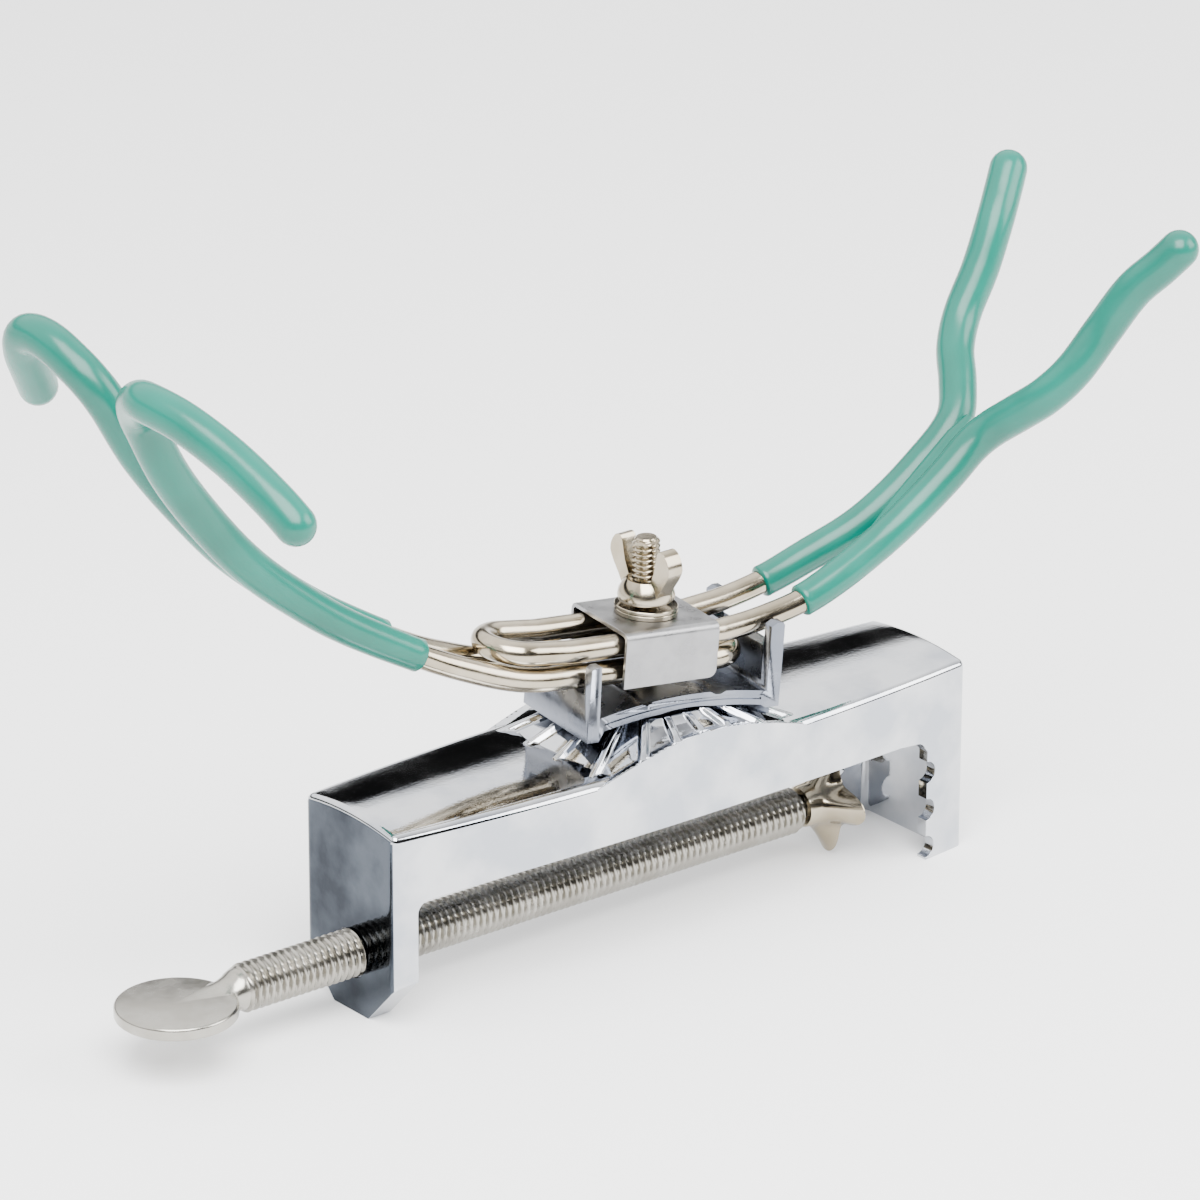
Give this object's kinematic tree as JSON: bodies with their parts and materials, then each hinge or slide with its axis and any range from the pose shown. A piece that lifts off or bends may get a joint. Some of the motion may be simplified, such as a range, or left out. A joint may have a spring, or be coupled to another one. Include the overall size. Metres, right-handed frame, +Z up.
{
  "type": "clamp-on cradle",
  "caption": "Cast C-clamp with a thumb screw and a toothed swivel saddle, carrying bent wire hooks and a wire fork with soft plastic coats.",
  "frame": {"origin": "centre of the bounding box's bottom, level with the flats under the screw leg and the jaw", "axes": "+X from the thumb screw to the jaw, along the beam; +Z up along the swivel bolt; -Y is the front with the bracket's brushed side"},
  "size_m": [0.2722, 0.1174, 0.1624],
  "materials": {
    "bright_chrome": "bright chrome plate over a casting",
    "satin_cast_chrome": "satin plated casting",
    "nickel_steel": "warm bright nickel plate",
    "brushed_stainless": "brushed sheet",
    "turquoise_pvc": "dipped soft PVC, semi-gloss"
  },
  "bodies": {
    "frame": {"clamp_body": "bright_chrome", "clamp_bolt": "nickel_steel"},
    "pad": {"screw_pad": "nickel_steel"},
    "screw": {"clamp_screw": "nickel_steel"},
    "swivel": {"saddle": "satin_cast_chrome"},
    "bracket": {"clamp_bracket": "brushed_stainless", "lock_washer": "nickel_steel", "flat_washer": "nickel_steel"},
    "nut": {"wing_nut": "nickel_steel"},
    "hooks": {"hook_wire": "nickel_steel", "hook_coat_front": "turquoise_pvc", "hook_coat_back": "turquoise_pvc"},
    "fork": {"fork_wire": "nickel_steel", "fork_coat_front": "turquoise_pvc", "fork_coat_back": "turquoise_pvc"}
  },
  "joints": [
    {"name": "pad_travel", "type": "slide", "parent": "frame", "child": "pad", "axis": [1, 0, 0], "range_m": [-0.112, 0.014]},
    {"name": "screw_turn", "type": "hinge", "parent": "pad", "child": "screw", "pos_m": [0.05747, -0.00498, 0.0139], "axis": [1, 0, 0], "continuous": true},
    {"name": "saddle_swivel", "type": "hinge", "parent": "frame", "child": "swivel", "pos_m": [0.00847, -0.00498, 0.06], "axis": [0, 0, 1], "continuous": true},
    {"name": "clamp_lift", "type": "slide", "parent": "swivel", "child": "bracket", "axis": [0, 0, 1], "range_m": [0, 0.006]},
    {"name": "nut_turn", "type": "hinge", "parent": "bracket", "child": "nut", "pos_m": [0.00847, -0.00498, 0.0788], "axis": [0, 0, 1], "continuous": true},
    {"name": "hook_slide", "type": "slide", "parent": "swivel", "child": "hooks", "axis": [0.9884, -0.1301, -0.0785], "range_m": [-0.0125, 0]},
    {"name": "fork_slide", "type": "slide", "parent": "swivel", "child": "fork", "axis": [0.9884, -0.1301, -0.0785], "range_m": [0, 0.012]}
  ],
  "couplings": [
    {"joint": "screw_turn", "follows": "pad_travel", "rad_per_m": 3463.7},
    {"joint": "nut_turn", "follows": "clamp_lift", "rad_per_m": 4947.4}
  ]
}
